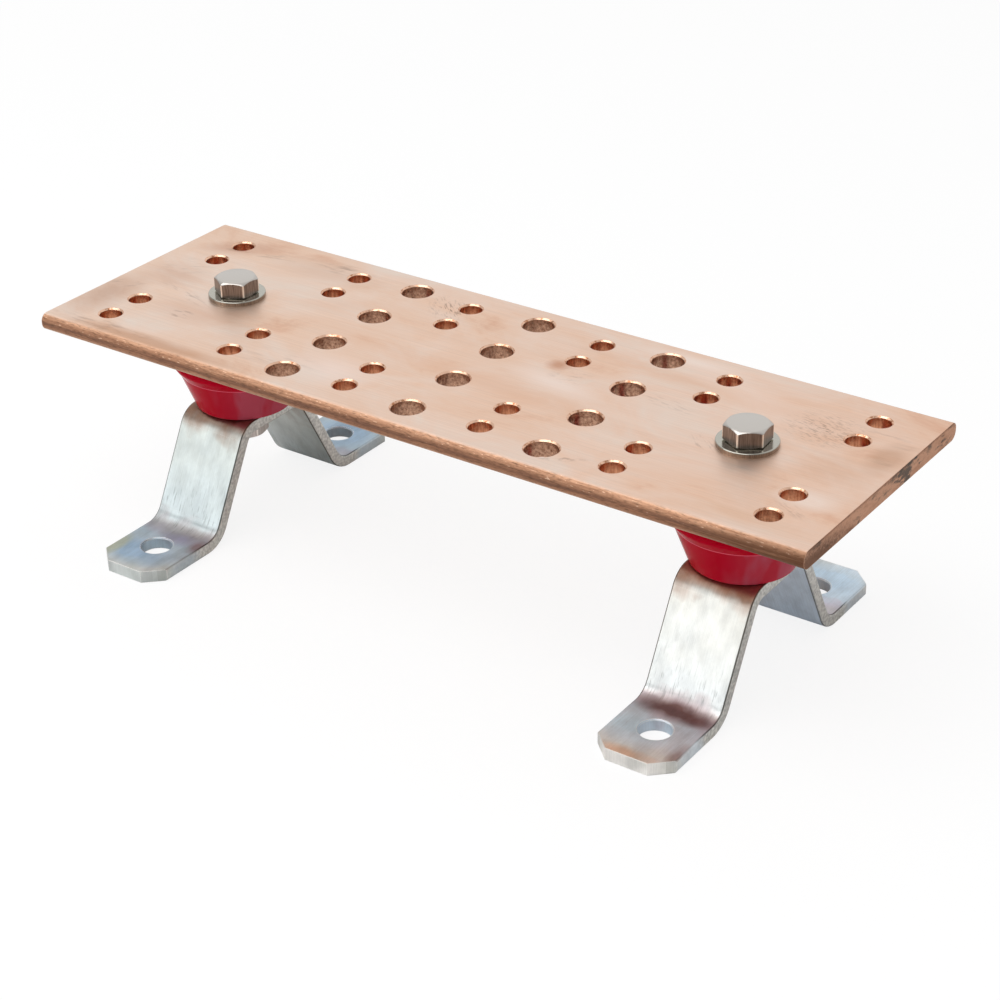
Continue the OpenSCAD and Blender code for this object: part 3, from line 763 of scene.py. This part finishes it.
floor_mesh = bpy.data.meshes.new("floor")
floor_half = 6.0
floor_corners = [(-floor_half, -floor_half, 0), (floor_half, -floor_half, 0),
                 (floor_half, floor_half, 0), (-floor_half, floor_half, 0)]
floor_mesh.from_pydata(floor_corners, [], [(0, 1, 2, 3)])
floor = bpy.data.objects.new("floor", floor_mesh)
bpy.context.collection.objects.link(floor)
paper = bpy.data.materials.new("white_paper")
paper.use_nodes = True
add = adder_for(paper.node_tree)
# to the eye the paper is white and lights itself; its share of light on the object
# stays that of paper
seen_by = add("LightPath").node.outputs
paper_tint = add("Mix", {0: seen_by["Is Camera Ray"], 6: linear("#F0F0F0"), 7: linear("#FFFFFF")},
                 data_type="RGBA")
matte = add("BsdfDiffuse", {"Color": paper_tint})
glow = add("Emission", {"Color": (1, 1, 1, 1), "Strength": 1.0})
lit_share = add("Math", {0: seen_by["Is Camera Ray"], 1: 0.85}, operation="MULTIPLY")
mixed = add("MixShader", {0: lit_share, 1: matte, 2: glow})
add("OutputMaterial", {"Surface": mixed})
floor_mesh.materials.append(paper)

world = bpy.context.scene.world or bpy.data.worlds.new("room")
bpy.context.scene.world = world
world.use_nodes = True
add = adder_for(world.node_tree)
seen_by = add("LightPath").node.outputs
direction = add("SeparateXYZ", {"Vector": add("TexCoord", out="Generated")}).node.outputs
# the room is bright behind the object and dim behind the camera
towards_back = add("MapRange", {"Value": direction["Y"], "From Min": -0.6, "From Max": 0.5,
                                "To Min": 0.33, "To Max": 0.86})
room_light = add("Mix", {0: seen_by["Is Camera Ray"], 2: towards_back, 3: 1.0}, data_type="FLOAT")
room = add("Background", {"Color": (1, 1, 1, 1), "Strength": room_light})
add("OutputWorld", {"Surface": room})


def softbox(name, position, aim, size, power):
    """A rectangular lamp that faces a point, its size in metres and its power in watts."""
    lamp = bpy.data.lights.new(name, "AREA")
    lamp.energy = power
    lamp.shape = "RECTANGLE"
    lamp.size, lamp.size_y = size
    holder = bpy.data.objects.new(name, lamp)
    bpy.context.collection.objects.link(holder)
    holder.location = position
    holder.rotation_euler = (Vector(aim) - Vector(position)).to_track_quat("-Z", "Y").to_euler()


softbox("overhead", (-0.2, -0.5, 1.2), (0, 0, 0.05), (1.7, 0.8), 9.5)
softbox("front_left", (-0.85, -1.25, 0.55), (0, 0, 0.04), (1.5, 0.8), 5.6)

# ---------------------------------------------------------------------------
# Camera: above the front right, on a short telephoto lens.
# ---------------------------------------------------------------------------

azimuth, elevation, roll = radians(35.231), radians(28.893), radians(-0.882)
distance = 0.70993
aim = Vector((0.060716, -0.072814, bar_high.z))
back = Vector((sin(azimuth) * cos(elevation), -cos(azimuth) * cos(elevation), sin(elevation)))
right = (-back).cross(Vector((0, 0, 1))).normalized()
up = right.cross(-back)
camera_x = right * cos(roll) + up * sin(roll)
camera_y = up * cos(roll) - right * sin(roll)
camera = bpy.data.objects.new("camera", bpy.data.cameras.new("camera"))
bpy.context.collection.objects.link(camera)
camera.data.lens = 84.8
camera.data.sensor_width = 36
camera.matrix_world = (Matrix.Translation(aim + back * distance)
                       @ Matrix((camera_x, camera_y, back)).transposed().to_4x4())
bpy.context.scene.camera = camera
bpy.context.scene.view_settings.view_transform = "Standard"
